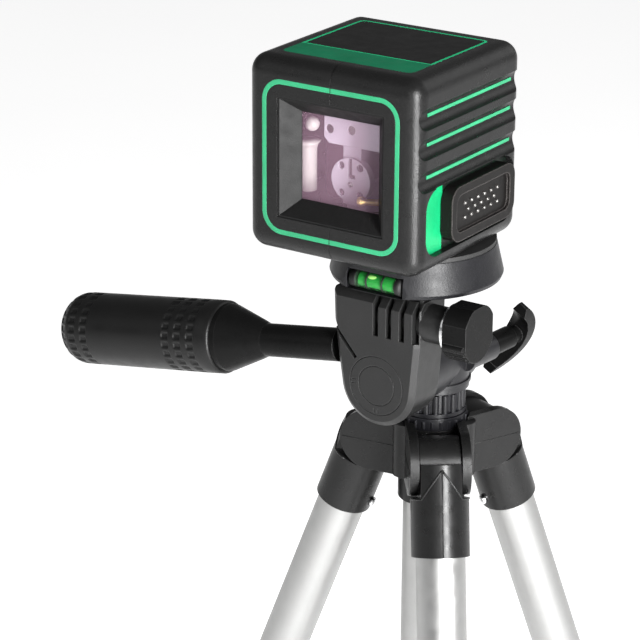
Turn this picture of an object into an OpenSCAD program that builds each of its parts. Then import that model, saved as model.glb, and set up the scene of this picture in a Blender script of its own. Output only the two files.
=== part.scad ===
// Cube-shaped self-levelling laser on a compact tripod with a pan head.
// Heights named *_z are measured from the tripod's platform top, downwards negative,
// and head parts are placed from the centre column's axis.

/* [Laser level] */
// Edge length of the laser's cubic housing
cube_size = 65; // [64:0.5:66]
// Radius of the housing's rounded edges
cube_edge_r = 6; // [4:0.5:7]
// Side wall thickness, which holds the grip grooves
side_wall = 5; // [4.5:0.5:6]
// Front, back, top and bottom wall thickness
wall = 2.5; // [2:0.5:3]
// Side of the square window opening on the front face
window_w = 40; // [38:1:41]
// Side of the glass at the bottom of the window recess
glass_w = 29.5; // [28:0.5:31]
// Depth of the window recess
window_depth = 6.5; // [6:0.5:7]
// Travel of the transport-lock slider
lock_travel = 11; // [8:1:11]

/* [Head] */
// Height of the platform top above the floor
platform_top = 345; // [340:5:360]
// Radius of the platform at its lower rim
platform_r = 28.9; // [27:0.1:29.5]
// Thickness of the platform with its pad
platform_h = 13.5; // [13:0.5:14]
// Droop of the pan handle below the horizontal
handle_droop = 8.9; // [5:0.1:12]
// Diameter of the pan handle's grip
grip_d = 25.5; // [22:0.5:27]
// Length of the grip
grip_len = 69; // [60:1:72]

/* [Column] */
// Diameter of the centre column tube
column_d = 19.5; // [19:0.5:20]
// Length of the centre column tube
column_len = 150; // [130:5:160]
// Wall of every aluminium tube
tube_wall = 1; // [0.8:0.1:1.2]

/* [Legs] */
// Angle between each leg and the vertical when open
leg_spread = 20.5; // [19:0.5:22]
// Diameter of the upper leg tube
leg_d = 16.8; // [16:0.2:17]
// Diameter of the lower leg tube
lower_d = 13; // [12:0.5:13]
// Distance of the leg pivots from the column axis
pivot_r = 19.5; // [19.5:0.5:21]
// Direction of the first leg, anticlockwise from +X
first_leg = -53; // [-60:1:-40]

/* [Hidden] */
$fn = 64;

run_gap = 0.06;                     // radial clearance of a running fit
side_gap = 0.3;                     // clearance between faces that move past each other
big = 400;                          // larger than any part, for cutting

// Laser housing, placed off-centre on the platform by its off-centre thread
cube_x = -7.8;
cube_y = -21;
half = cube_size / 2;
room_x = half - side_wall;
room = half - wall;
trim_r = 24.95;                     // half side of the green line around the window
trim_w = 1.6;
trim_corner = 6.5;
groove_z = [19.6, 10, -0.7];
groove_r = 3;
groove_front = -27;
strip_front = -22.4;
strip_w = 1.1;
slider_len = 39.5;
slider_h = 18.5;
slider_y = 5.2;
slider_z = -15.2;
gimbal_z = 20;
gimbal_y = -8;
cell_d = 10.5;                      // AAA cell
cell_len = 44.5;

// Head
platform_x = -0.9;
platform_y = -11;
pad_h = 1.5;
cut_y = -37;                        // flat front of the platform
vial_r = 3;
vial_len = 19;
vial_at = [-1, -34.6, -10];
tilt_x = -1;
tilt_z = -46.3;
body_front = -35;
body_back = -19;
body_top = -15.2;
body_r = 14.2;
hinge_at = [0, -27.8, -22.9];       // side-tilt axis, along X
fin_pitch = 5;
slot_w = 2;
axle_r = 4;
neck_bottom = -65.1;
neck_top = -56.7;
neck_r = 11.3;
pan_r = 12.1;
spindle_r = 6;
handle_root = [-10, -27, -36.8];
wing_at = [12, 10, -45.2];            // pan lock screw, pointing back
wing_turn = -6;
wing_roll = 28;
wing_reach = 24.5;
wing_boss = 5;
wing_screw_r = 2.2;

// Column and hub
column_r = column_d / 2;
ring_top = -65.4;
ring_bottom = -69.6;
hub_top = -69.8;
hub_bottom = -97.6;
pivot_z = -77.8;
cheek_r = 10.8;
cheek_in = 7.2;
cheek_out = 10.3;
pin_r = 3;
pin_end = cheek_out - 1.4;

// Legs, measured along each leg from its pivot, with the tube set outboard of the pivot
leg_offset = 3.5;
pivot_h = platform_top + pivot_z;
leg_len = (pivot_h + leg_offset * sin(leg_spread)) / cos(leg_spread);
socket_r = 9.9;
socket_start = 11.4;
socket_end = 31;
collar_start = leg_len - 66;
collar_end = leg_len - 34;
collar_r = 11.2;
lever_x = 14.4;
lever_z = -collar_start - 9;
foot_start = leg_len - 27;
foot_r = 9.5;

// The row's origin lies on the floor, under the middle of the whole object
foot_reach = pivot_r + leg_offset * cos(leg_spread) + leg_len * sin(leg_spread);
function leg_turn(i) = first_leg + 120 * i;
function foot_extent(a) = foot_reach * cos(a)
    + sqrt(pow(foot_r / cos(leg_spread) * cos(a), 2) + pow(foot_r * sin(a), 2));
handle_len = 126;                   // from the root to the end of the grip
grip_end_r = 9;
handle_tip = handle_root[0] - (handle_len - grip_end_r) * cos(handle_droop)
    - (grip_d / 2 - grip_end_r) * sin(handle_droop) - grip_end_r;
origin_x = -(handle_tip + foot_extent(first_leg)) / 2;
origin_y = -(foot_extent(leg_turn(1) - 90) - foot_extent(leg_turn(0) + 90)) / 2;

module placed() translate([origin_x, origin_y, 0]) children();
module head() placed() translate([0, 0, platform_top]) children();
module laser() head() translate([cube_x, cube_y, half]) children();
module pivot_at(i) head() rotate([0, 0, leg_turn(i)]) translate([pivot_r, 0, pivot_z]) children();
module leg(i) pivot_at(i) rotate([0, -leg_spread, 0]) translate([leg_offset, 0, 0]) children();
module along_x(r, x0, x1) translate([x0, 0, 0]) rotate([0, 90, 0]) cylinder(r = r, h = x1 - x0);
module along_y(r, y0, y1) translate([0, y0, 0]) rotate([-90, 0, 0]) cylinder(r = r, h = y1 - y0);
module box(lo, hi) translate(lo) cube(hi - lo);

// A square of half side s with corner radius r, built from true arcs
module soft_square(s, r) {
    square([2 * s, 2 * (s - r)], center = true);
    square([2 * (s - r), 2 * s], center = true);
    for (x = [-1, 1], y = [-1, 1]) translate([x * (s - r), y * (s - r)]) circle(r = r);
}

// A rounded rectangle centred on the origin
module soft_rect(w, h, r) {
    square([w, h - 2 * r], center = true);
    square([w - 2 * r, h], center = true);
    for (x = [-1, 1], y = [-1, 1]) translate([x * (w / 2 - r), y * (h / 2 - r)]) circle(r = r);
}

// A box with round edges and ball corners
module soft_cube(s, r) {
    inner = 2 * (s - r);
    cube([2 * s, inner, inner], center = true);
    cube([inner, 2 * s, inner], center = true);
    cube([inner, inner, 2 * s], center = true);
    for (a = [-1, 1], b = [-1, 1]) {
        translate([a * (s - r), b * (s - r), 0]) cylinder(r = r, h = inner, center = true);
        translate([a * (s - r), 0, b * (s - r)]) along_y(r, -inner / 2, inner / 2);
        translate([0, a * (s - r), b * (s - r)]) along_x(r, -inner / 2, inner / 2);
        for (c = [-1, 1]) translate([a * (s - r), b * (s - r), c * (s - r)]) sphere(r = r);
    }
}

// --- Laser level ---------------------------------------------------------

// Grip grooves of the side face, rounded at the front and open at the back
module grooves() {
    for (z = groove_z) translate([half + 0.6, 0, z]) {
        along_y(groove_r + 0.6, groove_front, half + 1);
        translate([0, groove_front, 0]) sphere(r = groove_r + 0.6);
    }
}

module window_recess(grow) {
    w = window_w / 2 + grow;
    g = glass_w / 2 + grow;
    intersection() {
        rotate([90, 0, 90]) linear_extrude(height = big, center = true)
            polygon([[-half, -w], [-half, w], [-half + window_depth, g], [-half + window_depth, -g]]);
        linear_extrude(height = big, center = true)
            polygon([[-w, -half], [w, -half], [g, -half + window_depth], [-g, -half + window_depth]]);
    }
}

module trim_ring(y0, y1) translate([0, y1, 0]) rotate([90, 0, 0]) linear_extrude(height = y1 - y0)
    difference() {
        soft_square(trim_r + trim_w / 2, trim_corner + trim_w / 2);
        soft_square(trim_r - trim_w / 2, trim_corner - trim_w / 2);
    }

top_w = 49;
top_front = -24;
top_back = 24;
top_edge = 1;                       // width of the green line around the top panel
band_y = -11.2;                     // back edge of the wide green band

module top_outline(inset) translate([0, (top_front + top_back) / 2])
    soft_rect(top_w - 2 * inset, top_back - top_front - 2 * inset, 2.5 - inset);

module switch_outline(inset) translate([0.7, -15.4])
    soft_rect(55 - 2 * inset, 22.5 - 2 * inset, 7 - inset);

module on_right(x0, x1) translate([x0, 0, 0]) rotate([90, 0, 90])
    linear_extrude(height = x1 - x0) children();

switch_floor = half - 2.4;
stem_w = 6;                         // slider stem through the wall
stem_min = slider_y - lock_travel - stem_w / 2 - 0.3;
stem_max = slider_y + stem_w / 2 + 0.3;
door_w = 50;
door_h = 40;
thread_at = [platform_x - cube_x, platform_y - cube_y];
thread_r = 3.175;
seam = 0.03;                        // half of the gap between the two shells
screw_at = 25;

// Right half of the housing, without the switch and the tripod thread
module half_shell() difference() {
    intersection() {
        soft_cube(half, cube_edge_r);
        box([seam, -half - 1, -half - 1], [half + 1, half + 1, half + 1]);
    }
    box([-1, -room, -room], [room_x, room, room]);
    box([-1, -half - 1, -window_w / 2], [window_w / 2, -room + 1, window_w / 2]);
    trim_ring(-half - 1, -half + 0.8);
    translate([0, 0, half - 1]) linear_extrude(height = 2) top_outline(0);
    grooves();
    for (z = groove_z) box([room_x + 1, strip_front, z - strip_w / 2], [half, half - 3.5, z + strip_w / 2]);
    box([-1, room - 1, -door_h / 2], [door_w / 2, half + 1, door_h / 2]);
    for (y = [-1, 1]) translate([screw_at, y * screw_at, -half - 1]) cylinder(r = 2.6, h = wall + 2);
}

module cube_shell_left() color("dimgray") laser() mirror([1, 0, 0]) half_shell();

module cube_shell_right() color("dimgray") laser() difference() {
    half_shell();
    on_right(switch_floor - 0.8, half + 1) switch_outline(0);
    box([room_x - 1, stem_min, slider_z - 2.5], [half, stem_max, slider_z + 2.5]);
    translate([thread_at[0], thread_at[1], -half - 1]) cylinder(r = 5.5, h = wall + 2);
}

module top_panel() color([0.1, 0.1, 0.1]) laser() translate([0, 0, half - 1]) difference() {
    linear_extrude(height = 1) top_outline(top_edge);
    box([-half, top_front, -1], [half, band_y, 2]);
}

module top_trim() color("mediumseagreen") laser() translate([0, 0, half - 1]) difference() {
    linear_extrude(height = 1) top_outline(0);
    difference() {
        translate([0, 0, -1]) linear_extrude(height = 3) top_outline(top_edge);
        box([-half, top_front, -2], [half, band_y, 3]);
    }
}

module window_trim() color("mediumseagreen") laser() trim_ring(-half, -half + 0.8);

module window_bezel() color([0.12, 0.12, 0.12]) laser() difference() {
    w = window_w / 2;
    g = glass_w / 2 + 1;
    union() {
        box([-w, -half + 0.3, -w], [w, -half + window_depth + 1.5, w]);
        box([-w - 3, -room, -w - 3], [w + 3, -room + 1.5, w + 3]);
    }
    window_recess(-0.4);
    box([-g, -half + window_depth - 0.2, -g], [g, -half + window_depth + 2, g]);
}

module window_glass() color([0.5, 0.4, 0.5, 0.4]) laser() {
    g = glass_w / 2 + 1;
    box([-g, -half + window_depth - 0.2, -g], [g, -half + window_depth + 1.3, g]);
}

module groove_strips() color("mediumseagreen") laser()
    for (side = [0, 1], z = groove_z) mirror([side, 0, 0])
        box([room_x + 1, strip_front, z - strip_w / 2],
            [half - groove_r + 0.3, half - 3.5, z + strip_w / 2]);

module switch_plate() color("mediumseagreen") laser() difference() {
    on_right(switch_floor - 0.8, switch_floor) switch_outline(0);
    box([room_x - 2, stem_min, slider_z - 2.5], [half, stem_max, slider_z + 2.5]);
}

module lock_slider() color([0.13, 0.13, 0.13]) laser() {
    face = half + 2.2;
    dish = 1.2;
    bump_pitch = 4.06;
    difference() {
        on_right(switch_floor + side_gap, face) translate([slider_y, slider_z])
            soft_rect(slider_len, slider_h, 5);
        on_right(face - dish, face + 1) translate([slider_y, slider_z])
            soft_rect(slider_len - 6, slider_h - 6, 3);
    }
    for (row = [-1, 0, 1], i = [0 : 4 + abs(row)])
        translate([face - dish, slider_y + bump_pitch * (i - 2 - abs(row) / 2), slider_z + 2.4 * row])
            sphere(r = 0.6, $fn = 24);
    box([room_x - 1.2, slider_y - stem_w / 2, slider_z - 2.2],
        [switch_floor + 1, slider_y + stem_w / 2, slider_z + 2.2]);
    box([room_x - 2.6, slider_y - 6, slider_z - 5], [room_x - 0.3, slider_y + 6, slider_z + 5]);
}

// Arched bracket under the housing's roof that carries the gimbal
module gimbal_frame() color("silver") laser() difference() {
    union() {
        box([-22, gimbal_y - 12, 26], [22, gimbal_y + 12, 28]);
        for (x = [-18, 18], y = [-8, 8]) translate([x, gimbal_y + y, 28]) cylinder(r = 3, h = room - 28);
        for (s = [-1, 1]) translate([s * 17, gimbal_y, 0]) box([-1.5, -4, gimbal_z - 4], [1.5, 4, 26]);
    }
    translate([0, gimbal_y, gimbal_z]) along_x(1.5, -30, 30);
}

module gimbal_ring() color("gold") laser() translate([0, gimbal_y, gimbal_z]) difference() {
    union() {
        difference() {
            box([-13, -8, -2.5], [13, 8, 2.5]);
            box([-10.5, -5.5, -3], [10.5, 5.5, 3]);
        }
        along_x(1.5 - run_gap, -18.5, -12);
        along_x(1.5 - run_gap, 12, 18.5);
    }
    along_y(1.5, -9, 9);
}

// Places of the two laser ports and of the round plate, from the gimbal
port = [[-1.6, -11.8], [-9.9, -12.6]];
port_r = 1.5;
barrel_r = 3.4;
plate_at = [-1.8, -28.5];
plate_r = 7.4;

module pendulum() color("lightgray") laser() translate([0, gimbal_y, gimbal_z]) {
    difference() {
        union() {
            along_y(1.5 - run_gap, -8.5, 8.5);
            box([-3.5, -3.5, -18], [3.5, 3.5, 3.4]);
            // Upper block with a rounded lower left corner
            hull() {
                box([-12, -9.4, -15.5], [12, 7, -4]);
                box([-10.2, -9.4, -17.3], [12, 7, -15]);
            }
            box([-14.2, -4.2, -16.8], [0, 7, -8]);
            // Neck and round plate, with the damping weight behind it
            box([-5.3, -8.4, -37], [1.5, 5, -17]);
            translate([plate_at[0], 0, plate_at[1]]) along_y(plate_r, -9.4, -6.6);
            translate([plate_at[0], 0.5, -40]) cylinder(r = 6.4, h = 10);
        }
        for (p = port) translate([p[0], 0, p[1]]) {
            along_y(port_r, -12, 0);
            along_y(barrel_r, -3.6, 8);
        }
        translate([plate_at[0], 0, plate_at[1]]) {
            for (x = [-3.6, 3.6], z = [-4.6, 4.6]) translate([x, 0, z]) along_y(1.25, -12, -8.2);
            box([-0.9, -12, 0.6], [0.5, -8.6, 9]);
            box([-0.9, -12, 0.6], [1.7, -8.6, 1.9]);
            translate([-0.1, 0, -1.5]) along_y(1.1, -12, -8.7);
        }
    }
}

module laser_modules() color("goldenrod") laser() translate([0, gimbal_y, gimbal_z]) for (p = port)
    translate([p[0], 0, p[1]]) {
        along_y(port_r, -8.9, 0);
        along_y(barrel_r, -3.6, 6);
    }

module circuit_board() color("darkgreen") laser() {
    box([-25, 9, -23], [24, 10.6, 24]);
    for (x = [-15, 0, 13]) box([x - 3, 7.6, 10], [x + 4, 9, 17]);
    translate([18, 0, -12]) along_y(3, 4.6, 9);
}

cell_z = [-12, 0, 12];
tray_y = 22.4;

module battery_tray() color([0.2, 0.2, 0.2]) laser() difference() {
    l = cell_len / 2 + 0.4;
    box([-25, 14, -18.5], [25, 29.8, 18.5]);
    for (z = cell_z) translate([0, tray_y, z]) along_x(cell_d / 2 + 0.2, -l, l);
    box([-l, tray_y, -18], [l, 30, 18]);
}

module batteries() color("orange") laser() for (z = cell_z) translate([0, tray_y, z]) {
    along_x(cell_d / 2, -cell_len / 2, cell_len / 2 - 1);
    along_x(1.9, cell_len / 2 - 1.2, cell_len / 2);
}

module battery_door() color("dimgray") laser() {
    w = door_w / 2 - 0.25;
    h = door_h / 2 - 0.25;
    box([-w, room + 0.2, -h], [w, half - 0.1, h]);
    for (z = [-13 : 2 : -7]) box([-9, half - 0.2, z], [9, half, z + 0.8]);
}

module case_screws() color("silver") laser()
    for (x = [-1, 1], y = [-1, 1]) translate([x * screw_at, y * screw_at, 0]) difference() {
        union() {
            translate([0, 0, -half + 0.8]) cylinder(r = 2.6, h = 1.7);
            translate([0, 0, -half + 2.4]) cylinder(r = 1.4, h = 8);
        }
        translate([0, 0, -half - 1]) for (a = [0, 90]) rotate([0, 0, a]) cube([2.8, 0.7, 5], center = true);
    }

module thread_insert() color("goldenrod") laser()
    translate([thread_at[0], thread_at[1], -half]) difference() {
        cylinder(r = 5.5, h = 9);
        translate([0, 0, -1]) cylinder(r = thread_r + run_gap, h = 8.5);
    }

// --- Platform ------------------------------------------------------------

module platform_pad() color([0.1, 0.1, 0.1]) head() difference() {
    translate([platform_x, platform_y, -pad_h]) cylinder(r = platform_r - 2.6, h = pad_h);
    box([-50, -60, -5], [50, cut_y + 1, 5]);
    translate([platform_x, platform_y, -5]) cylinder(r = thread_r + 0.6, h = 10);
}

module platform() color([0.25, 0.25, 0.25]) head() difference() {
    translate([platform_x, platform_y, -platform_h]) rotate_extrude()
        polygon([[0, 0], [platform_r - 1.6, 0], [platform_r - 0.5, 0.5], [platform_r, 1.8],
            [platform_r - 2.4, platform_h - pad_h], [0, platform_h - pad_h]]);
    box([-50, -60, -20], [50, cut_y, 5]);
    box([vial_at[0] - vial_len / 2 - 1.2, cut_y - 1, vial_at[2] - vial_r - 0.3],
        [vial_at[0] + vial_len / 2 + 1.2, vial_at[1] + vial_r + 0.4, vial_at[2] + vial_r + 0.7]);
    translate([platform_x, platform_y, -20]) cylinder(r = thread_r + run_gap, h = 30);
    translate([platform_x, platform_y, -platform_h - 1]) cylinder(r = 8.3, h = 5.3);
}

module vial_tube() color([0.8, 0.95, 0.8, 0.4]) head() translate(vial_at) difference() {
    along_x(vial_r, -vial_len / 2, vial_len / 2);
    along_x(vial_r - 0.6, -vial_len / 2 + 3, vial_len / 2 - 2.4);
}

module vial_liquid() color("lime") head() translate(vial_at)
    along_x(vial_r - 0.65, -vial_len / 2 + 3.1, vial_len / 2 - 2.5);

// Camera screw with a flat coin-slot head sunk into the platform
module camera_screw() color("silver") head() translate([platform_x, platform_y, -platform_h]) difference() {
    union() {
        translate([0, 0, 0.2]) cylinder(r = 8, h = 3.8);
        cylinder(r = thread_r, h = platform_h + 6);
    }
    box([-6, -0.8, -1], [6, 0.8, 2]);
}

// --- Side-tilt hinge -----------------------------------------------------

fin_x = [for (i = [0 : 3]) -1.6 + fin_pitch * i];
fin_t = slot_w - 2 * side_gap;
fin_r = 5.4;

module hinge_bracket() color([0.15, 0.15, 0.15]) head() difference() {
    union() {
        difference() {
            translate([platform_x, platform_y, -platform_h - 1.3]) cylinder(r = 22, h = 1.3);
            box([-50, -60, -30], [50, hinge_at[1] + 4.8, 0]);
        }
        for (x = fin_x) translate([x, hinge_at[1], hinge_at[2]]) {
            along_x(fin_r, -fin_t / 2, fin_t / 2);
            box([-fin_t / 2, -3.2, 0], [fin_t / 2, 5.4, -hinge_at[2] - platform_h - 0.5]);
        }
    }
    translate([platform_x, platform_y, -20]) cylinder(r = 8.3, h = 10);
    translate([0, hinge_at[1], hinge_at[2]]) along_x(2.5 + run_gap, -10, 30);
}

module hinge_pin() color("silver") head() translate(hinge_at) along_x(2.5, -9, 27);

module side_washer() color("silver") head() translate(hinge_at) difference() {
    along_x(8.2, 23.2, 24.2);
    along_x(2.55, 20, 26);
}

// Teardrop knob with a flat top and grip teeth below
module side_knob() color([0.13, 0.13, 0.13]) head() translate(hinge_at) difference() {
    union() {
        intersection() {
            along_x(9.6, 24.5, 33.4);
            box([24, -8.6, -10], [34, 8.6, 9]);
        }
        for (a = [200 : 14 : 340]) rotate([a, 0, 0]) translate([0, 9, 0]) along_x(0.9, 25, 32.6);
    }
    along_x(2.5 + run_gap, 20, 27.2);
}

// --- Tilt body -----------------------------------------------------------

module body_outline(inset) {
    w = 18.6 - inset;
    e = 15 - inset;
    r = body_r - inset;
    hull() {
        translate([tilt_x, tilt_z]) circle(r = r, $fn = 72);
        polygon([[-w, body_top - inset], [-w + 0.4, body_top - 10.8], [-w + 1.8, body_top - 21.8],
            [e - 0.3, body_top - 15], [e, body_top - inset]]);
    }
}

module body_slab(y0, y1, inset) translate([0, y1, 0]) rotate([90, 0, 0])
    linear_extrude(height = y1 - y0) body_outline(inset);

module tilt_body() color([0.16, 0.16, 0.16]) head() difference() {
    union() {
        body_slab(body_front + 1.6, body_back, 0);
        hull() {
            body_slab(body_front, body_front + 0.1, 1.7);
            body_slab(body_front + 1.5, body_front + 1.6, 0);
        }
        translate(hinge_at) along_x(6.4, 10, 23);
    }
    // Cavity around the hinge fins, open at the top
    for (x = fin_x) translate([x, hinge_at[1], hinge_at[2]]) {
        along_x(fin_r + 0.5, -slot_w / 2, slot_w / 2);
        box([-slot_w / 2, -20, -fin_r - 0.5], [slot_w / 2, 0, 12]);
        box([-slot_w / 2, -1, 0], [slot_w / 2, fin_r + 0.6, 12]);
    }
    // Bevelled top edge and rib tops, which the platform passes as it tips forward
    translate([-big / 2, body_front, body_top - 2.4]) rotate([45, 0, 0]) cube([big, 8, 8]);
    translate([-2.6, body_front, body_top - 3.4]) rotate([45, 0, 0]) cube([20, 8, 8]);
    translate(hinge_at) along_x(2.5, -9, 30);
    translate([tilt_x, 0, tilt_z]) along_y(axle_r + run_gap, -40, 0);
    translate([tilt_x, 0, tilt_z]) along_y(10.3, -40, body_front + 1.8);
    // Clamp slit, from the left edge down to the pivot
    translate([-14.2, 0, -32.3]) rotate([0, 49, 0]) box([-8, -60, -0.7], [7.6, 0, 0.7]);
    translate(handle_root) rotate([0, -handle_droop, 0]) along_x(2.6, -20, 4);
}

module tilt_cap() color([0.16, 0.16, 0.16]) head() translate([tilt_x, 0, tilt_z]) difference() {
    along_y(10.1, body_front, body_front + 1.7);
    difference() {
        along_y(7, body_front - 1, body_front + 0.3);
        along_y(6.7, body_front - 2, body_front + 1);
    }
    for (a = [0, 90]) rotate([0, 180 - a, 0]) for (s = [-0.7, 0.7])
        box([8, body_front - 1, s - 0.15], [9.6, body_front + 0.3, s + 0.15]);
}

// --- Pan handle ----------------------------------------------------------

// The handle's own axis, with +X pointing back to the head
module handle() head() translate(handle_root) rotate([0, -handle_droop, 0]) children();
module turned(points) rotate([0, -90, 0]) rotate_extrude() polygon(points);

cone_start = 40;
grip_start = handle_len - grip_len;

module handle_neck() color([0.1, 0.1, 0.1]) handle() {
    difference() {
        turned([[0, 9], [5.7, 10.1], [5.7, cone_start], [7, cone_start + 3], [11.6, grip_start - 2],
            [11.9, grip_start + 4], [8.5, grip_start + 4], [8.5, handle_len - 12], [0, handle_len - 12]]);
        along_x(2.5, -20, 0);
    }
    along_x(2.5, -20, 2);
}

module handle_grip() color([0.13, 0.13, 0.13]) handle() difference() {
    r = grip_d / 2;
    turned(concat([[8.55, grip_start], [r - 0.7, grip_start], [r - 0.1, grip_start + 0.6]],
        [for (a = [0 : 10 : 90]) [r - grip_end_r * (1 - cos(a)), handle_len - grip_end_r * (1 - sin(a))]],
        [[0, handle_len], [0, handle_len - 11.9], [8.55, handle_len - 11.9]]));
    along_x(11.95, -grip_start - 4.1, -grip_start + 1);
}

// --- Pan body and pan lock -----------------------------------------------

module wing_frame() head() translate(wing_at) rotate([0, 0, wing_turn]) rotate([0, wing_roll, 0]) children();

module pan_body() color([0.14, 0.14, 0.14]) head() difference() {
    union() {
        intersection() {
            translate([0, 0, tilt_z]) along_y(pan_r - 0.1, body_back + side_gap, 10);
            box([-20, -40, neck_top + 0.3], [20, 20, 0]);
        }
        translate([0, 0, neck_top + 0.3]) cylinder(r = pan_r, h = tilt_z - neck_top);
        translate([0, 0, neck_top + 2.4]) cylinder(r = pan_r + 0.6, h = 1.2);
        translate(wing_at) rotate([0, 0, wing_turn]) along_y(4.8, -9, wing_boss);
    }
    translate([0, 0, neck_top - 1]) cylinder(r = spindle_r + run_gap, h = 18.4);
    translate([tilt_x, 0, tilt_z]) along_y(axle_r, -30, -8);
    translate(wing_at) rotate([0, 0, wing_turn]) along_y(wing_screw_r + run_gap, -8, 10);
}

module tilt_axle() color("silver") head() translate([tilt_x, 0, tilt_z])
    along_y(axle_r, body_front + 2.2, -8);

module pan_wing() color([0.08, 0.08, 0.08]) wing_frame() {
    arc_r = 18;
    arc_t = 3.8;
    span = 15.4;
    plan_r = 48;                    // the wing narrows to its ends between two arcs
    wing_w = 8.6;
    along_y(wing_screw_r, -6, wing_boss + 1);
    along_y(3.9, wing_boss + side_gap, wing_reach - 8);
    along_y(3.1, wing_reach - 9, wing_reach - 2);
    intersection() {
        translate([0, wing_reach - arc_r, 0]) difference() {
            along_x(arc_r, -wing_w / 2, wing_w / 2);
            along_x(arc_r - arc_t, -wing_w, wing_w);
        }
        box([-wing_w, wing_reach - 10, -span], [wing_w, wing_reach + 1, span]);
        rotate([90, 0, 0]) translate([0, 0, -2 * wing_reach]) linear_extrude(height = 4 * wing_reach)
            intersection() {
                translate([wing_w / 2 - plan_r, 0]) circle(r = plan_r);
                translate([plan_r - wing_w / 2, 0]) circle(r = plan_r);
            }
    }
}

// --- Column --------------------------------------------------------------

module column_neck() color([0.14, 0.14, 0.14]) head() difference() {
    union() {
        translate([0, 0, neck_bottom]) cylinder(r = neck_r, h = 1.3);
        translate([0, 0, neck_bottom + 1]) cylinder(r = neck_r - 1.2, h = neck_top - neck_bottom - 1);
        for (a = [0 : 18 : 342]) rotate([0, 0, a]) translate([neck_r - 1.3, 0, neck_bottom + 1])
            cylinder(r = 1.1, h = neck_top - neck_bottom - 1.6, $fn = 24);
        translate([0, 0, neck_top - 1]) cylinder(r = spindle_r, h = 17);
    }
    translate([0, 0, neck_bottom - 1]) cylinder(r = column_r, h = 6);
}

module column_tube() color("silver") head() difference() {
    translate([0, 0, neck_bottom + 5 - column_len]) cylinder(r = column_r, h = column_len);
    translate([0, 0, neck_bottom - column_len]) cylinder(r = column_r - tube_wall, h = column_len + 10);
}

module column_cap() color([0.12, 0.12, 0.12]) head() translate([0, 0, neck_bottom + 5 - column_len]) {
    translate([0, 0, -2.5]) cylinder(r = column_r, h = 2.5);
    translate([0, 0, -0.5]) cylinder(r = column_r - tube_wall, h = 8);
}

// Twist ring that clamps the column
module lock_ring() color([0.12, 0.12, 0.12]) head() difference() {
    union() {
        translate([0, 0, ring_bottom]) cylinder(r = 11.6, h = ring_top - ring_bottom);
        for (a = [0 : 15 : 345]) rotate([0, 0, a]) translate([11.4, 0, ring_bottom + 0.6])
            cylinder(r = 0.6, h = ring_top - ring_bottom - 1.6, $fn = 16);
    }
    translate([0, 0, -80]) cylinder(r = column_r + 0.35, h = 30);
}

// --- Hub -----------------------------------------------------------------

// Two cheeks around a leg's knuckle, and the rounded corner column beside them
module hub_leg(i) rotate([0, 0, leg_turn(i)]) {
    cheek_h = cheek_r - 0.15;
    for (side = [0, 1]) mirror([0, side, 0]) {
        translate([pivot_r, 0, pivot_z]) along_y(cheek_r, cheek_in, cheek_out);
        box([4, cheek_in, pivot_z - cheek_h], [pivot_r, cheek_out, pivot_z + cheek_h]);
    }
    rotate([0, 0, 60]) translate([11, 0, pivot_z - cheek_h + 1]) cylinder(r = 4.6, h = 2 * cheek_h - 2);
}

module hub() color([0.13, 0.13, 0.13]) head() difference() {
    union() {
        translate([0, 0, hub_bottom]) cylinder(r = 11.6, h = hub_top - hub_bottom);
        for (i = [0 : 2]) hub_leg(i);
    }
    translate([0, 0, -120]) cylinder(r = column_r + run_gap, h = 60);
    translate([0, 0, hub_top]) cylinder(r = 12.6, h = 20);
    for (i = [0 : 2]) rotate([0, 0, leg_turn(i)]) {
        translate([pivot_r, 0, pivot_z]) along_y(pin_r, -pin_end, pin_end);
        translate([pivot_r, 0, pivot_z]) along_y(cheek_r + 0.4, -cheek_in, cheek_in);
    }
}

// Pins moulded into the cheeks, hidden from outside
module leg_pins() color("silver") for (i = [0 : 2]) pivot_at(i)
    along_y(pin_r, -pin_end, pin_end);

// --- Legs ----------------------------------------------------------------

module socket(i) color([0.15, 0.15, 0.15]) leg(i) difference() {
    width = 2 * (cheek_in - side_gap);
    union() {
        translate([-leg_offset, -width / 2, 0]) rotate([-90, 0, 0]) cylinder(r = 9.4, h = width);
        intersection() {
            translate([0, 0, -socket_start - 1]) cylinder(r = socket_r, h = socket_start + 1);
            box([-20, -width / 2, -20], [20, width / 2, 0]);
        }
        translate([0, 0, -socket_end]) cylinder(r = socket_r, h = socket_end - socket_start);
    }
    translate([-leg_offset, 0, 0]) along_y(pin_r + run_gap, -20, 20);
    translate([0, 0, -socket_end - 1]) cylinder(r = leg_d / 2, h = socket_end - socket_start - 1);
}

module upper_tube(i) color("silver") leg(i) difference() {
    translate([0, 0, -collar_start - 10]) cylinder(r = leg_d / 2, h = collar_start + 10 - socket_start - 2);
    translate([0, 0, -collar_start - 20]) cylinder(r = leg_d / 2 - tube_wall, h = collar_start + 20);
}

module collar(i) color([0.13, 0.13, 0.13]) leg(i) difference() {
    union() {
        translate([0, 0, -collar_end]) cylinder(r = collar_r, h = collar_end - collar_start);
        translate([0, 0, -collar_end - 1.5]) cylinder(r = collar_r - 1.5, h = 2);
        for (s = [-1, 1]) translate([0, s * 6.2, 0]) {
            translate([lever_x, 0, lever_z]) along_y(3.6, -1.4, 1.4);
            box([6, -1.4, lever_z - 3.6], [lever_x, 1.4, lever_z + 3.6]);
        }
    }
    translate([0, 0, -collar_start - 10]) cylinder(r = leg_d / 2, h = 20);
    translate([0, 0, -collar_end - 5]) cylinder(r = lower_d / 2 + run_gap, h = 50);
    translate([lever_x, 0, lever_z]) along_y(1.6 + run_gap, -20, 20);
}

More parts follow.
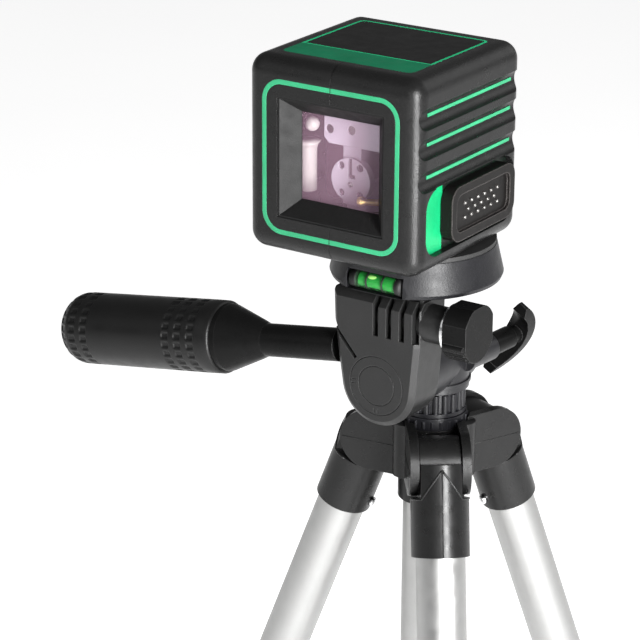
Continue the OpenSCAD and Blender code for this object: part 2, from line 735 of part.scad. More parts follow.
// Flip lever that clamps the lower tube, closed against the collar
module lever(i) color([0.1, 0.1, 0.1]) leg(i) {
    intersection() {
        difference() {
            translate([0, 0, -collar_end - 1]) cylinder(r = collar_r + 3, h = collar_end + lever_z - 3.3);
            translate([0, 0, -collar_end - 5]) cylinder(r = collar_r + 0.4, h = 60);
        }
        box([0, -7.4, -collar_end - 2], [20, 7.4, lever_z]);
    }
    translate([lever_x, 0, lever_z]) along_y(2.8, -4.4, 4.4);
    box([collar_r + 0.4, -4.4, lever_z - 5], [lever_x + 1.2, 4.4, lever_z - 0.5]);
    translate([lever_x, 0, lever_z]) along_y(1.6, -7.4, 7.4);
}

module lower_tube(i) color("silver") leg(i) difference() {
    translate([0, 0, -foot_start - 14]) cylinder(r = lower_d / 2, h = foot_start + 14 - 32);
    translate([0, 0, -foot_start - 20]) cylinder(r = lower_d / 2 - tube_wall, h = foot_start + 60);
}

module foot(i) color([0.08, 0.08, 0.08]) intersection() {
    leg(i) difference() {
        rotate([180, 0, 0]) translate([0, 0, foot_start]) rotate_extrude()
            polygon([[0, 0], [8, 0], [8.6, 0.8], [8.8, 8], [foot_r, 14], [foot_r, 36], [0, 36]]);
        translate([0, 0, -foot_start - 14]) difference() {
            cylinder(r = lower_d / 2, h = 40);
            cylinder(r = lower_d / 2 - tube_wall, h = 40);
        }
        translate([0, 0, -foot_start - 1]) cylinder(r = lower_d / 2, h = 10);
    }
    translate([-big, -big, 0]) cube([2 * big, 2 * big, 60]);
}

module socket_front() socket(0);
module socket_rear() socket(1);
module socket_left() socket(2);
module upper_tube_front() upper_tube(0);
module upper_tube_rear() upper_tube(1);
module upper_tube_left() upper_tube(2);
module collar_front() collar(0);
module collar_rear() collar(1);
module collar_left() collar(2);
module lever_front() lever(0);
module lever_rear() lever(1);
module lever_left() lever(2);
module lower_tube_front() lower_tube(0);
module lower_tube_rear() lower_tube(1);
module lower_tube_left() lower_tube(2);
module foot_front() foot(0);
module foot_rear() foot(1);
module foot_left() foot(2);

cube_shell_left();
cube_shell_right();
top_panel();
top_trim();
window_trim();
window_bezel();
window_glass();
groove_strips();
switch_plate();
lock_slider();
gimbal_frame();
gimbal_ring();
pendulum();
laser_modules();
circuit_board();
battery_tray();
batteries();
battery_door();
case_screws();
thread_insert();
platform_pad();
platform();
vial_tube();
vial_liquid();
camera_screw();
hinge_bracket();
hinge_pin();
side_washer();
side_knob();
tilt_body();
tilt_cap();
handle_neck();
handle_grip();
pan_body();
tilt_axle();
pan_wing();
column_neck();
column_tube();
column_cap();
hub();
lock_ring();
leg_pins();
socket_front();
socket_rear();
socket_left();
upper_tube_front();
upper_tube_rear();
upper_tube_left();
collar_front();
collar_rear();
collar_left();
lever_front();
lever_rear();
lever_left();
lower_tube_front();
lower_tube_rear();
lower_tube_left();
foot_front();
foot_rear();
foot_left();
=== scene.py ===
"""Looks for the cube laser level on its tripod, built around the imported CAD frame.

All lengths are in metres, and MM turns millimetres into them.
"""

import math

import bmesh
import bpy
from mathutils import Matrix, Vector


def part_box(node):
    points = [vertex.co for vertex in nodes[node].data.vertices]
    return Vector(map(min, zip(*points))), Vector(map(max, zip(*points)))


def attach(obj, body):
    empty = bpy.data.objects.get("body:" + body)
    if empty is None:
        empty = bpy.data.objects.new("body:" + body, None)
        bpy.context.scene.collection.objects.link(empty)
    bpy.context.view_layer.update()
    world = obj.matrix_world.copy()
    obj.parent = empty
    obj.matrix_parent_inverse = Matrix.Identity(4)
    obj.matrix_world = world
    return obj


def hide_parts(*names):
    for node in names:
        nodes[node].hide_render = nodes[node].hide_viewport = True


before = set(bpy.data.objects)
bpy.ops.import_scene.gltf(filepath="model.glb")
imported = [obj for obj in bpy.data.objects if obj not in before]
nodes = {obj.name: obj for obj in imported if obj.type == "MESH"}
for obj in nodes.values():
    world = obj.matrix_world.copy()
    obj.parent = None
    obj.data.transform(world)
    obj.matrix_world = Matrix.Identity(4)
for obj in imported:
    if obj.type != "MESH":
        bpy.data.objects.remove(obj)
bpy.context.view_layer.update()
MM = 0.001


def middle(*names):
    """Centre of the box around some CAD nodes."""
    boxes = [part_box(n) for n in names]
    lo = Vector([min(b[0][i] for b in boxes) for i in range(3)])
    hi = Vector([max(b[1][i] for b in boxes) for i in range(3)])
    return (lo + hi) / 2


COLUMN = middle("column_tube")
PLATFORM_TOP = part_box("platform_pad")[1].z
CUBE = middle("cube_shell_left", "cube_shell_right")


def head(x, y, z):
    """A point given in millimetres from the column axis and the platform's top."""
    return Vector((COLUMN.x + x * MM, COLUMN.y + y * MM, PLATFORM_TOP + z * MM))


# --- Camera --------------------------------------------------------------

AZIMUTH, ELEVATION, ROLL = (math.radians(a) for a in (33.51, 20.58, 0.3))
DISTANCE = 0.8702
LENS_MM, SENSOR_MM = 150.93, 36
CUBE_RIGHT, CUBE_UP = 0.02097, 0.05741      # where the cube's centre sits off the lens axis

back = Vector((math.sin(AZIMUTH) * math.cos(ELEVATION), -math.cos(AZIMUTH) * math.cos(ELEVATION),
               math.sin(ELEVATION)))
level = Vector((math.cos(AZIMUTH), math.sin(AZIMUTH), 0))
rise = back.cross(level)
right = math.cos(ROLL) * level + math.sin(ROLL) * rise
up = -math.sin(ROLL) * level + math.cos(ROLL) * rise
camera = bpy.data.objects.new("camera", bpy.data.cameras.new("camera"))
camera.data.lens = LENS_MM
camera.data.sensor_width = SENSOR_MM
camera.data.clip_start = 0.05
spot = CUBE - CUBE_RIGHT * right - CUBE_UP * up + DISTANCE * back
camera.matrix_world = Matrix((
    (right.x, up.x, back.x, spot.x),
    (right.y, up.y, back.y, spot.y),
    (right.z, up.z, back.z, spot.z),
    (0, 0, 0, 1)))
bpy.context.scene.collection.objects.link(camera)
bpy.context.scene.camera = camera


# --- Materials -----------------------------------------------------------

class Nodes:
    """A small helper to write a shader tree in a few lines."""

    def __init__(self, name):
        self.material = bpy.data.materials.new(name)
        self.material.use_nodes = True
        self.tree = self.material.node_tree
        self.shader = self.tree.nodes["Principled BSDF"]
        self.place = self.add("ShaderNodeTexCoord").outputs["Object"]

    def add(self, kind, links=None, **settings):
        node = self.tree.nodes.new(kind)
        for key, value in settings.items():
            if key.startswith("in_"):
                node.inputs[int(key[3:])].default_value = value
            else:
                setattr(node, key, value)
        for socket, source in (links or {}).items():
            self.tree.links.new(source, node.inputs[socket])
        return node

    def noise(self, size, detail=2.0):
        """Noise whose features are about size metres across."""
        node = self.add("ShaderNodeTexNoise", {"Vector": self.place})
        node.inputs["Scale"].default_value = 1 / size
        node.inputs["Detail"].default_value = detail
        return node.outputs["Fac"]

    def ramp(self, source, low, high, a=0.3, b=0.7):
        node = self.add("ShaderNodeMapRange", {0: source}, in_1=a, in_2=b, in_3=low, in_4=high)
        return node.outputs[0]

    def mix(self, factor, one, two):
        node = self.add("ShaderNodeMix", data_type="RGBA")
        for index, value in ((6, one), (7, two)):
            if isinstance(value, tuple):
                node.inputs[index].default_value = (*value, 1)
            else:
                self.tree.links.new(value, node.inputs[index])
        if isinstance(factor, float):
            node.inputs[0].default_value = factor
        else:
            self.tree.links.new(factor, node.inputs[0])
        return node.outputs[2]

    def above(self, axis, level, soft=0.00005):
        """1 where the object's own coordinate passes a level in metres, else 0."""
        split = self.add("ShaderNodeSeparateXYZ", {0: self.place})
        return self.ramp(split.outputs[axis], 0, 1, level - soft, level + soft)

    def link(self, source, socket):
        self.tree.links.new(source, self.shader.inputs[socket])


def shade(color, k):
    return tuple(min(1.0, c * k) for c in color)


def moulded(name, color, rough=0.5, metal=0.0, grain=0.0004, depth=0.12, speckle=0.25, mottle=0.12, edge_wear_and_highlight=0.35,
            edge=0.00035, rim=2.2, specular=0.5, coat=0.0, alpha=1.0, seam=False, other=None):
    """A moulded, painted or drawn surface: mottled colour, fine grain, softened edges, and edges lightened in
    colour, partly for wear and partly as a painted highlight.

    seam draws the dark joint between the two shells, and other is a (color, axis, level) beyond a level.
    """
    n = Nodes(name)
    cloud = n.ramp(n.noise(0.012, 3), 0, 1)
    base = n.mix(cloud, shade(color, 1 - mottle), shade(color, 1 + mottle))
    if other:
        base = n.mix(n.above(other[1], other[2]), base, other[0])
    fine = n.noise(grain, 2)
    base = n.mix(n.ramp(fine, 0, speckle, 0.45, 0.75), base, shade(color, 2.6))
    soft = n.add("ShaderNodeBevel", samples=3)
    soft.inputs["Radius"].default_value = edge
    flat = n.add("ShaderNodeNewGeometry").outputs["Normal"]
    bend = n.add("ShaderNodeVectorMath", {0: soft.outputs[0], 1: flat}, operation="DOT_PRODUCT")
    # Edges lightened in colour towards rim times the base colour: partly wear, partly a painted highlight
    worn_and_highlit_edges = n.ramp(bend.outputs["Value"], edge_wear_and_highlight, 0.0, 0.80, 0.985)
    base = n.mix(worn_and_highlit_edges, base, shade(color, rim))
    if seam:
        line = n.add("ShaderNodeMath", {0: n.above("X", CUBE.x - SEAM), 1: n.above("X", CUBE.x + SEAM)},
                     operation="SUBTRACT").outputs[0]
        base = n.mix(line, base, (0.0008, 0.0008, 0.0008))
    n.link(base, "Base Color")
    n.link(n.ramp(n.noise(0.004, 4), rough - 0.06, rough + 0.06), "Roughness")
    bump = n.add("ShaderNodeBump", {"Height": fine, "Normal": soft.outputs[0]})
    bump.inputs["Strength"].default_value = depth
    bump.inputs["Distance"].default_value = 0.0002
    n.link(bump.outputs[0], "Normal")
    n.shader.inputs["Metallic"].default_value = metal
    n.shader.inputs["Specular IOR Level"].default_value = specular
    n.shader.inputs["Coat Weight"].default_value = coat
    n.shader.inputs["Coat Roughness"].default_value = 0.12
    n.shader.inputs["Alpha"].default_value = alpha
    return n.material


GREY = (0.0062, 0.0062, 0.0062)
SEAM = 0.16 * MM                             # half width of the drawn joint between the shells
BAND_BACK = CUBE.y - 11.9 * MM               # back edge of the wide green band
SLIDER_LEFT = CUBE.y - 13.4 * MM             # the switch recess is black behind the slider
look = {
    "housing": moulded("grained_grey", GREY, 0.31, grain=0.00042, depth=0.35, speckle=0.45, specular=0.22,
                       seam=True),
    "door": moulded("grained_door", shade(GREY, 0.9), 0.40, grain=0.00042, depth=0.35, speckle=0.42,
                    specular=0.36),
    "panel": moulded("flat_black", (0.005, 0.005, 0.005), 0.52, grain=0.0003, speckle=0.12, edge_wear_and_highlight=0.1,
                     specular=0.3),
    # The top trim's lines behind BAND_BACK are lighter than the same green plastic elsewhere: partly their
    # own green, partly a painted highlight that makes up for the dim light on the top
    "band": moulded("satin_green", (0.004, 0.210, 0.095), 0.46, grain=0.0005, speckle=0.03, edge_wear_and_highlight=0.0,
                    specular=0.10, other=((0.02, 0.62, 0.26), "Y", BAND_BACK)),
    "bright": moulded("bright_green", (0.018, 0.235, 0.105), 0.34, grain=0.0008, speckle=0.03, edge_wear_and_highlight=0.6,
                      specular=0.4, seam=True),
    "recess": moulded("recess_green", (0.004, 0.250, 0.090), 0.40, grain=0.0008, speckle=0.03, edge_wear_and_highlight=0.0,
                      specular=0.3, other=((0.004, 0.004, 0.004), "Y", SLIDER_LEFT)),
    "bezel": moulded("bezel_grey", (0.005, 0.005, 0.005), 0.54, grain=0.00045, depth=0.30, speckle=0.50,
                     specular=0.22),
    # The slider's edges get a strong painted highlight in their colour (rim 14)
    "slider": moulded("slider_black", (0.0055, 0.005, 0.0048), 0.38, grain=0.0005, depth=0.05, speckle=0.06,
                      edge_wear_and_highlight=1.0, edge=0.0007, rim=14, specular=0.11),
    "platform": moulded("speckled_grey", (0.006, 0.006, 0.007), 0.42, grain=0.00045, depth=0.30,
                        speckle=0.60,
                        specular=0.28),
    "head": moulded("satin_grey", (0.010, 0.010, 0.010), 0.36, grain=0.0006, depth=0.10, speckle=0.20,
                    edge_wear_and_highlight=0.8,
                    rim=5, specular=0.28),
    "pan": moulded("pan_grey", (0.008, 0.008, 0.009), 0.34, grain=0.0006, depth=0.08, speckle=0.10,
                   edge_wear_and_highlight=0.8,
                   specular=0.36),
    "hub": moulded("hub_grey", (0.006, 0.006, 0.006), 0.31, grain=0.0006, depth=0.12, speckle=0.20,
                   edge_wear_and_highlight=0.8,
                   rim=5, specular=0.28),
    # The gloss black parts get a strong painted highlight in their edge colour (rim 14)
    "gloss": moulded("gloss_black", (0.004, 0.004, 0.004), 0.30, grain=0.0009, depth=0.03, speckle=0.03,
                     edge_wear_and_highlight=1.0, edge=0.0004, rim=14, coat=0.02, specular=0.06),
    "grip": moulded("grip_black", (0.004, 0.004, 0.004), 0.36, grain=0.0005, depth=0.10, speckle=0.08,
                    edge_wear_and_highlight=0.5,
                    specular=0.26),
    "ring": moulded("ring_black", (0.005, 0.005, 0.006), 0.34, grain=0.0006, depth=0.05, speckle=0.08,
                    edge_wear_and_highlight=1.0,
                    rim=5, specular=0.26),
    "rubber": moulded("rubber_black", (0.010, 0.010, 0.010), 0.66, grain=0.0004, depth=0.30, speckle=0.12,
                      edge_wear_and_highlight=0.1),
    "tube": moulded("satin_tube", (0.43, 0.43, 0.425), 0.42, metal=1.0, grain=0.0004, depth=0.03,
                    speckle=0.02,
                    mottle=0.02, edge_wear_and_highlight=0.0),
    "bump": moulded("bump_steel", (0.17, 0.165, 0.16), 0.34, metal=1.0, grain=0.0006, depth=0.04,
                    speckle=0.05),
    "shadow": moulded("shadow_grey", (0.060, 0.045, 0.055), 0.60, grain=0.0006, speckle=0.10, edge_wear_and_highlight=0.0),
    "steel": moulded("zinc_steel", (0.56, 0.56, 0.57), 0.30, metal=1.0, grain=0.0006, depth=0.04,
                     speckle=0.08,
                     mottle=0.06, edge_wear_and_highlight=0.2),
    "chrome": moulded("polished_steel", (0.80, 0.80, 0.81), 0.14, metal=1.0, grain=0.0008, depth=0.01,
                      speckle=0.03, mottle=0.03, edge_wear_and_highlight=0.0),
    "cast": moulded("cast_alloy", (0.50, 0.44, 0.53), 0.45, metal=0.1, grain=0.0005, depth=0.20,
                    speckle=0.05),
    "liner": moulded("rose_liner", (0.34, 0.18, 0.25), 0.40, grain=0.0006, depth=0.08, speckle=0.05,
                     mottle=0.2),
    "brass": moulded("turned_brass", (0.86, 0.60, 0.22), 0.34, metal=1.0, grain=0.0006, depth=0.04,
                     speckle=0.08),
    "board": moulded("board_green", (0.010, 0.080, 0.035), 0.40, grain=0.0008, depth=0.10, speckle=0.20),
    "tray": moulded("tray_black", (0.020, 0.020, 0.020), 0.50, grain=0.0006, speckle=0.10),
    "cells": moulded("cell_sleeve", (0.52, 0.22, 0.04), 0.34, grain=0.0009, depth=0.02, speckle=0.05),
    "white": moulded("white_nylon", (0.38, 0.355, 0.345), 0.35, grain=0.0007, depth=0.05, speckle=0.02,
                     edge_wear_and_highlight=0.0),
    "glass": moulded("rose_glass", (0.46, 0.28, 0.38), 0.06, grain=0.002, depth=0.0, speckle=0.02, edge_wear_and_highlight=0.0,
                     edge=0.0001, alpha=0.12),
    "vial": moulded("clear_acrylic", (0.03, 0.12, 0.04), 0.05, grain=0.002, depth=0.0, speckle=0.02,
                    edge_wear_and_highlight=0.0,
                    alpha=0.20),
    "liquid": moulded("green_liquid", (0.006, 0.36, 0.035), 0.12, grain=0.002, depth=0.0, speckle=0.05,
                      edge_wear_and_highlight=0.0),
    "bubble": moulded("bubble_pale", (0.42, 0.90, 0.22), 0.10, grain=0.002, depth=0.0, speckle=0.02,
                      edge_wear_and_highlight=0.0),
}

paint = {
    "housing": ["cube_shell_left", "cube_shell_right"], "door": ["battery_door"], "panel": ["top_panel"],
    "band": ["top_trim"], "bright": ["window_trim", "groove_strips"], "recess": ["switch_plate"],
    "bezel": ["window_bezel"],
    "glass": ["window_glass"], "slider": ["lock_slider"], "cast": ["gimbal_frame", "pendulum"],
    "brass": ["gimbal_ring", "thread_insert"], "bump": ["laser_modules"], "board": ["circuit_board"],
    "tray": ["battery_tray"], "cells": ["batteries"],
    "steel": ["case_screws", "camera_screw", "leg_pins", "hinge_pin", "tilt_axle"],
    "rubber": ["platform_pad"], "platform": ["platform"], "vial": ["vial_tube"], "liquid": ["vial_liquid"],
    "head": ["tilt_body", "tilt_cap", "hinge_bracket"], "pan": ["pan_body"], "chrome": ["side_washer"],
    "gloss": ["side_knob", "pan_wing", "handle_neck"], "ring": ["lock_ring", "column_neck"],
    "hub": ["hub", "column_cap"], "tube": ["column_tube"],
}
LEGS = ("front", "rear", "left")
for leg in LEGS:
    paint["hub"] += [f"socket_{leg}", f"collar_{leg}"]
    paint["tube"] += [f"upper_tube_{leg}", f"lower_tube_{leg}"]
    paint["gloss"] += [f"lever_{leg}"]
    paint["rubber"] += [f"foot_{leg}"]
for key, names in paint.items():
    for name in names:
        slots = nodes[name].material_slots
        for s in slots:
            s.material = look[key]


# --- Extra pieces --------------------------------------------------------

def piece(name, verts, faces, body, key, slot, smooth=True):
    mesh = bpy.data.meshes.new(name)
    mesh.from_pydata(verts, [], faces)
    mesh.validate()
    shells = bmesh.new()
    shells.from_mesh(mesh)
    bmesh.ops.recalc_face_normals(shells, faces=shells.faces)
    shells.to_mesh(mesh)
    shells.free()
    mesh.materials.append(look[key])
    mesh.polygons.foreach_set("use_smooth", [smooth] * len(mesh.polygons))
    obj = bpy.data.objects.new(name, mesh)
    bpy.context.scene.collection.objects.link(obj)
    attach(obj, body)
    return obj


def revolve(profile, turns, place, dent=None):
    """Points and faces of a profile of (radius, distance) pairs turned about the place's Z axis."""
    verts, faces, rings = [], [], []
    for r, z in profile:
        if r < 1e-9:
            rings.append([len(verts)])
            verts.append(place @ Vector((0, 0, z)))
            continue
        rings.append(list(range(len(verts), len(verts) + turns)))
        for k in range(turns):
            a = 2 * math.pi * k / turns
            q = r - (dent(a, z, r) if dent else 0)
            verts.append(place @ Vector((q * math.cos(a), q * math.sin(a), z)))
    for one, two in zip(rings, rings[1:]):
        for k in range(turns):
            m = (k + 1) % turns
            quad = [one[k % len(one)], one[m % len(one)], two[m % len(two)], two[k % len(two)]]
            quad = [v for i, v in enumerate(quad) if v not in quad[:i]]
            if len(quad) > 2:
                faces.append(quad)
    return verts, faces


def joined(parts):
    """Several (points, faces) lists as one."""
    verts, faces = [], []
    for v, f in parts:
        faces += [[i + len(verts) for i in face] for face in f]
        verts += v
    return verts, faces


def dome(radius, height, steps=6):
    """The profile of a rounded bump, from its top down to its rim."""
    quarter = [math.pi / 2 * i / steps for i in range(1, steps + 1)]
    return [(0, height)] + [(radius * math.sin(a), height * math.cos(a)) for a in quarter]


def aim(point, direction):
    """A frame at a point whose Z axis runs along a direction."""
    return Matrix.Translation(point) @ Vector(direction).to_track_quat("Z", "Y").to_matrix().to_4x4()


# The pan handle's grip, with two bands of rectangular dimples
DROOP = math.radians(8.9)
HANDLE = Matrix.Translation(head(-10, -27, -36.8)) @ Matrix.Rotation(-DROOP, 4, "Y") @ \
    Matrix.Rotation(math.radians(-90), 4, "Y")
GRIP_R, GRIP_START, GRIP_END, END_R = 12.75 * MM, 57 * MM, 126 * MM, 9 * MM
DIMPLE_RINGS = [s * MM for s in (64.7, 70.1, 75.3, 111.8, 117.0, 121.6)]
DIMPLES = 24
NECK_R, NECK_END = 8.55 * MM, 114.1 * MM     # the bore in the grip, over the CAD handle's neck


def smoothstep(x):
    """0 to 1 with a soft start and end."""
    x = max(0.0, min(1.0, x))
    return x * x * (3 - 2 * x)


def dimple(a, z, r):
    """How deep the grip's surface is pressed in at an angle, distance and radius."""
    if r < 9.5 * MM:
        return 0
    near = min(abs(z - ring) for ring in DIMPLE_RINGS)
    part = a * DIMPLES / (2 * math.pi)
    across = abs(part - round(part)) * 2 * math.pi / DIMPLES * r
    inside = smoothstep((1.55 * MM - near) / (0.35 * MM)) * smoothstep((1.15 * MM - across) / (0.35 * MM))
    return 0.55 * MM * inside


def grip_radius(s):
    """The grip's radius at a distance along the handle."""
    if s < GRIP_START + 0.6 * MM:
        return GRIP_R - 0.7 * MM + (s - GRIP_START)
    if s > GRIP_END - END_R:
        return GRIP_R - END_R + math.sqrt(max(0, END_R ** 2 - (s - GRIP_END + END_R) ** 2))
    return GRIP_R - 0.1 * MM * (1 - smoothstep((s - GRIP_START) / (2 * MM)))


stops = {GRIP_START, GRIP_START + 0.6 * MM, 0.08, 0.09, 0.1, 0.107, 0.1145}
stops |= {GRIP_END - END_R + END_R * math.sin(math.radians(a)) for a in range(0, 91, 6)}
for ring in DIMPLE_RINGS:
    stops |= {ring + d * 0.28 * MM for d in range(-7, 8)}
profile = [(0, NECK_END), (NECK_R, NECK_END), (NECK_R, GRIP_START)]
profile += [(grip_radius(s), s) for s in sorted({round(s, 7) for s in stops}) if s <= GRIP_END - 1e-6]
profile += [(GRIP_R - END_R, GRIP_END), (0, GRIP_END)]
grip = piece("pan_grip", *revolve(profile, DIMPLES * 10, HANDLE, dimple), "handle", "grip", "handle_grip")
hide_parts("handle_grip")

# Steel bumps on the transport-lock slider, in rows of six, five and six
bumps = []
for row in (-1, 0, 1):
    for i in range(5 + abs(row)):
        at = CUBE + Vector((34.7 - 1.25, 5.2 + 4.06 * (i - 2 - abs(row) / 2), -15.2 + 2.4 * row)) * MM
        bumps.append(revolve(dome(0.72 * MM, 0.78 * MM) + [(0, 0)], 16, aim(at, (1, 0, 0))))
piece("slider_bumps", *joined(bumps), "slider", "bump", "slider")

# Rivets on the inner side of each leg socket
SPREAD, FIRST_LEG = math.radians(20.5), -53
LEG_PIVOT, SOCKET_OUT = (19.5, 0, -77.8), 3.5      # millimetres: pivot from the column, socket axis from it
RIVET_IN, RIVET_DOWN, RIVET_R, RIVET_H = 9.5, 27, 1.8, 1.1


def leg_turn(i):
    """The frame at the column's top that faces leg i."""
    return Matrix.Translation(head(0, 0, 0)) @ Matrix.Rotation(math.radians(FIRST_LEG + 120 * i), 4, "Z")


def leg_frame(i):
    """The frame at leg i's pivot, with Z up along the leg."""
    return leg_turn(i) @ Matrix.Translation(Vector(LEG_PIVOT) * MM) @ Matrix.Rotation(-SPREAD, 4, "Y")


for i, leg in enumerate(LEGS):
    place = leg_frame(i) @ Matrix.Translation(Vector((SOCKET_OUT - RIVET_IN, 0, -RIVET_DOWN)) * MM) @ \
        Matrix.Rotation(math.radians(-90), 4, "Y")
    arc = [math.pi / 12 * k for k in range(1, 7)]
    rivet = [(0, (RIVET_H + 1) * MM)]
    rivet += [(RIVET_R * math.sin(a) * MM, (RIVET_H + math.cos(a)) * MM) for a in arc]
    rivet += [(RIVET_R * MM, 0), (0, 0)]
    piece(f"socket_rivet_{leg}", *revolve(rivet, 24, place), f"leg_{leg}", "chrome", "screws")


def slotted(radius, height, slot, steps=8, turns=32):
    """Points and faces of a domed screw head with a slot across it, its base at Z = 0."""
    def top(x, y, part):
        z = height * (0.55 + 0.45 * math.sqrt(max(0, 1 - part * part)))
        return z - 0.5 * height * smoothstep((slot - abs(y)) / (0.4 * slot))
    verts, faces = [(0, 0, top(0, 0, 0))], []
    for i in range(1, steps + 1):
        part = i / steps
        for k in range(turns):
            a = 2 * math.pi * k / turns
            x, y = radius * part * math.cos(a), radius * part * math.sin(a)
            verts.append((x, y, top(x, y, part)))
    verts += [(radius * math.cos(2 * math.pi * k / turns), radius * math.sin(2 * math.pi * k / turns), 0)
              for k in range(turns)]
    faces += [(0, 1 + k, 1 + (k + 1) % turns) for k in range(turns)]
    for i in range(steps):
        for k in range(turns):
            m, a, b = (k + 1) % turns, 1 + i * turns, 1 + (i + 1) * turns
            faces.append((a + k, b + k, b + m, a + m))
    faces.append([1 + steps * turns + k for k in reversed(range(turns))])
    return verts, faces


def placed(place, shape):
    """Points and faces moved into a frame."""
    return [place @ Vector(v) for v in shape[0]], shape[1]


def inside(x, y, z):
    """A point in millimetres from the cube's centre."""
    return CUBE + Vector((x, y, z)) * MM


def soft_panel(lo, hi, corner, steps=6):
    """A flat panel facing -Y with rounded corners and a softened front edge."""
    (x0, y0, z0), (x1, y1, z1) = lo, hi
    rings = []
    for y, inset in ((y1, 0), (y0 + 0.5, 0), (y0 + 0.15, 0.15), (y0, 0.5)):
        ring = []
        for cx, cz, turn in ((x1, z1, 0), (x0, z1, 90), (x0, z0, 180), (x1, z0, 270)):
            sx, sz = (1 if cx == x1 else -1), (1 if cz == z1 else -1)
            for k in range(steps + 1):
                a = math.radians(turn + 90 * k / steps)
                ring.append(inside(cx - sx * corner + (corner - inset) * math.cos(a), y,
                                   cz - sz * corner + (corner - inset) * math.sin(a)))
        rings.append(ring)
    size = len(rings[0])
    verts = [v for ring in rings for v in ring]
    faces = [[i * size + k, i * size + (k + 1) % size, (i + 1) * size + (k + 1) % size, (i + 1) * size + k]
             for i in range(len(rings) - 1) for k in range(size)]
    faces += [list(reversed(range(size))), [3 * size + k for k in range(size)]]
    return verts, faces


# What shows through the window: a rose liner, a pale pillar, a white ball, a brass screw and the
# plate's own screw. The brass screw stays clear of the pendulum at both ends of its swing.
piece("window_liner", *soft_panel((-25.5, 4.2, -24), (24, 5, 15.5), 3), "platform", "liner", "bezel",
      smooth=False)
column = [(0, 0), (2.9, 0), (2.9, 14), (3.3, 15.6), (4.2, 16.6), (0, 16.6)]
piece("window_pillar", *revolve([(a * MM, b * MM) for a, b in column], 32,
                                aim(inside(-18.4, -17, -14.5), (0, 0, 1))),
      "platform", "white", "gimbal_frame")
ball = [(0, -2.4 * MM)] + [(2.4 * math.sin(a) * MM, -2.4 * math.cos(a) * MM)
                           for a in [math.pi / 14 * k for k in range(1, 14)]] + [(0, 2.4 * MM)]
piece("window_ball", *revolve(ball, 32, aim(inside(-14.9, -20, 8.9), (0, 0, 1))), "platform", "white",
      "gimbal_frame")
shank = [(0, 0), (1.5, 0), (1.7, 0.3), (1.7, 1.5), (1.5, 1.8), (1.1, 1.8), (1.1, 8.4), (0, 8.4)]
piece("window_screw", *revolve([(a * MM, b * MM) for a, b in shank], 32,
                               aim(inside(4.6, -22.3, -13.2), (1, 0, 0.14))),
      "platform", "brass", "laser_modules")
slot_head = slotted(1.0 * MM, 0.75 * MM, 0.22 * MM)
piece("plate_screw", *placed(aim(inside(-1.9, -16.72, -10), (0.0001, -1, 0)), slot_head), "pendulum", "steel",
      "screws")

# Painted shade: dark discs in the plate's four holes and a dark sheet in its slot, standing for the shade at
# their bottoms
hole_shade = [revolve([(0, 0.1 * MM), (1.2 * MM, 0.1 * MM), (1.2 * MM, 0), (0, 0)], 24,
                aim(inside(-1.8 + x, -16.25, -8.5 + z), (0.0001, -1, 0)))
        for x in (-3.6, 3.6) for z in (-4.6, 4.6)]
corners = [(-2.66, -7.8), (-0.14, -7.8), (-0.14, -6.7), (-1.34, -6.7), (-1.34, -1.6), (-2.66, -1.6)]
sides = len(corners)
hole_shade.append(([inside(x, y, z) for y in (-16.75, -16.62) for x, z in corners],
             [list(range(sides)), list(reversed(range(sides, 2 * sides)))] +
             [[i, i + sides, (i + 1) % sides + sides, (i + 1) % sides] for i in range(sides)]))
piece("plate_hole_shade", *joined(hole_shade), "pendulum", "shadow", "pendulum", smooth=False)


def wire(points, radius, turns=8):
    """A thin round bead along a line of points, closed at both ends."""
    verts, faces = [], []
    for i, at in enumerate(points):
        along = (points[min(i + 1, len(points) - 1)] - points[max(i - 1, 0)]).normalized()
        one = along.cross(Vector((0.3, 0.2, 1))).normalized()
        two = along.cross(one)
        for k in range(turns):
            a = 2 * math.pi * k / turns
            verts.append(at + radius * (math.cos(a) * one + math.sin(a) * two))
    for i in range(len(points) - 1):
        for k in range(turns):
            m = (k + 1) % turns
            faces.append([i * turns + k, i * turns + m, (i + 1) * turns + m, (i + 1) * turns + k])
    faces += [list(reversed(range(turns))), [(len(points) - 1) * turns + k for k in range(turns)]]
    return verts, faces


# Moulded ridges of each socket, and the mould line across the hub's cheeks
SOCKET_R, CHEEK_OUT = 9.9, 10.3
hub_lines = []
for i, leg in enumerate(LEGS):
    turn = leg_turn(i)
    place = leg_frame(i) @ Matrix.Translation(Vector((SOCKET_OUT, 0, 0)) * MM)
    ridges = [wire([place @ (Vector((SOCKET_R, 0, z)) * MM) for z in (-2, -12, -21, -30.7)], 0.22 * MM)]
    for side in (-1, 1):
        roof = []
        for k in range(13):
            a = math.radians(43 * min(1, k / 8) + 34 * max(0, k - 8) / 4) * side
            z = -1.8 - 9.8 * min(1, k / 8)
            roof.append(place @ (Vector((SOCKET_R * math.cos(a), SOCKET_R * math.sin(a), z)) * MM))
        ridges.append(wire(roof, 0.38 * MM))
        across = [Vector((x, side * CHEEK_OUT, LEG_PIVOT[2])) * MM for x in (9, 15, 21, 29.6)]
        hub_lines.append(wire([turn @ at for at in across], 0.14 * MM))
    piece(f"socket_ridges_{leg}", *joined(ridges), f"leg_{leg}", "hub", "sockets")
piece("hub_mould_lines", *joined(hub_lines), "hub", "hub", "hub")

# Dark end caps of the vial
caps = [revolve([(0, 0), (2.95 * MM, 0), (3.05 * MM, 0.15 * MM), (3.05 * MM, 2.2 * MM), (0, 2.2 * MM)], 32,
                aim(head(-1 + x, -34.6, -10), (side, 0, 0))) for x, side in ((-7.2, -1), (7.6, 1))]
piece("vial_caps", *joined(caps), "platform", "panel", "vial")

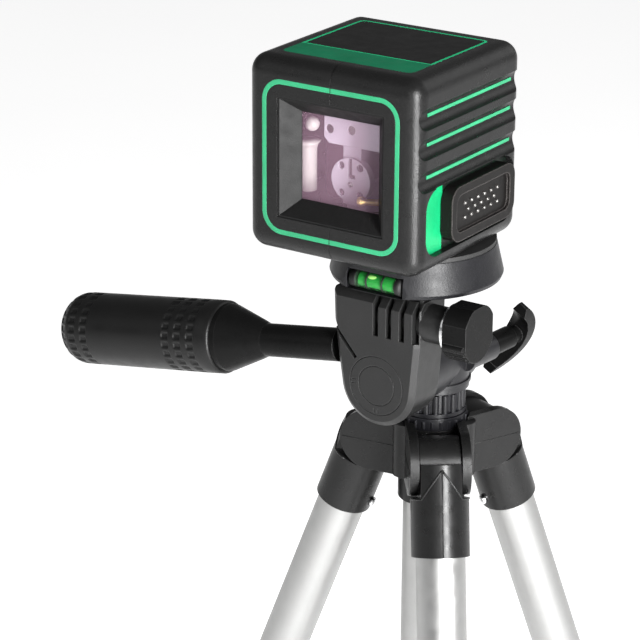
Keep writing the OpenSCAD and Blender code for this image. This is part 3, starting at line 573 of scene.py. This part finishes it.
# Bubble and the two black marks of the vial
VIAL = head(-1, -34.6, -10)
marks = []
for x in (-3.0, 3.0):
    ring_at = aim(VIAL + Vector((x - 0.25, 0, 0)) * MM, (1, 0, 0))
    marks.append(revolve([(2.6 * MM, 0), (3.06 * MM, 0), (3.06 * MM, 0.45 * MM), (2.6 * MM, 0.45 * MM),
                          (2.6 * MM, 0)], 32, ring_at))
piece("vial_marks", *joined(marks), "platform", "panel", "vial")
bubble_at = aim(VIAL + Vector((-1.5, -1.05, 1.35)) * MM, (1, 0, 0))
oval = [(0, -2.4 * MM)] + [(0.95 * math.sin(a) * MM, -2.4 * math.cos(a) * MM)
                           for a in [math.pi / 12 * k for k in range(1, 12)]] + [(0, 2.4 * MM)]
piece("vial_bubble", *revolve(oval, 20, bubble_at), "platform", "bubble", "vial_liquid")


# --- Stage and light -----------------------------------------------------

# The floor gives off light as well, so that it reads as a white backdrop
FLOOR_GLOW, SKY_STRENGTH = 0.70, 0.20
n = Nodes("pale_floor")
n.link(n.mix(n.ramp(n.noise(0.3, 2), 0, 1), (0.80, 0.80, 0.80), (0.84, 0.84, 0.84)), "Base Color")
n.shader.inputs["Roughness"].default_value = 0.9
n.shader.inputs["Specular IOR Level"].default_value = 0.1
n.shader.inputs["Emission Color"].default_value = (1, 1, 1, 1)
n.shader.inputs["Emission Strength"].default_value = FLOOR_GLOW
FAR, DROP = 30.0, 0.0004         # half the floor's side, and its gap below the feet
floor_mesh = bpy.data.meshes.new("floor")
floor_mesh.from_pydata([(x * FAR, y * FAR, -DROP) for x, y in ((-1, -1), (1, -1), (1, 1), (-1, 1))], [],
                       [(0, 1, 2, 3)])
floor_mesh.materials.append(n.material)
floor = bpy.data.objects.new("floor", floor_mesh)
bpy.context.scene.collection.objects.link(floor)

world = bpy.data.worlds.new("studio")
world.use_nodes = True
sky = world.node_tree.nodes["Background"]
sky.inputs[0].default_value = (1, 1, 1, 1)
sky.inputs[1].default_value = SKY_STRENGTH
bpy.context.scene.world = world
bpy.context.scene.view_settings.view_transform = "Standard"


def lamp(name, power, width, height, where, target):
    """A soft rectangular light given by azimuth, elevation and distance from its target."""
    az, el, dist = math.radians(where[0]), math.radians(where[1]), where[2]
    light = bpy.data.objects.new(name, bpy.data.lights.new(name, "AREA"))
    light.data.shape = "RECTANGLE"
    light.data.size, light.data.size_y, light.data.energy = width, height, power
    out = Vector((math.sin(az) * math.cos(el), -math.cos(az) * math.cos(el), math.sin(el)))
    light.location = target + out * dist
    light.rotation_euler = out.to_track_quat("Z", "Y").to_euler()
    bpy.context.scene.collection.objects.link(light)


lamp("key", 28.0, 0.20, 0.8, (58, 4, 0.9), CUBE)
lamp("front", 3.6, 1.2, 1.1, (36, 13, 1.4), CUBE)
lamp("fill", 1.0, 0.8, 0.8, (-35, 30, 1.2), CUBE)
lamp("rear", 2.0, 0.9, 0.6, (150, 25, 1.2), CUBE)
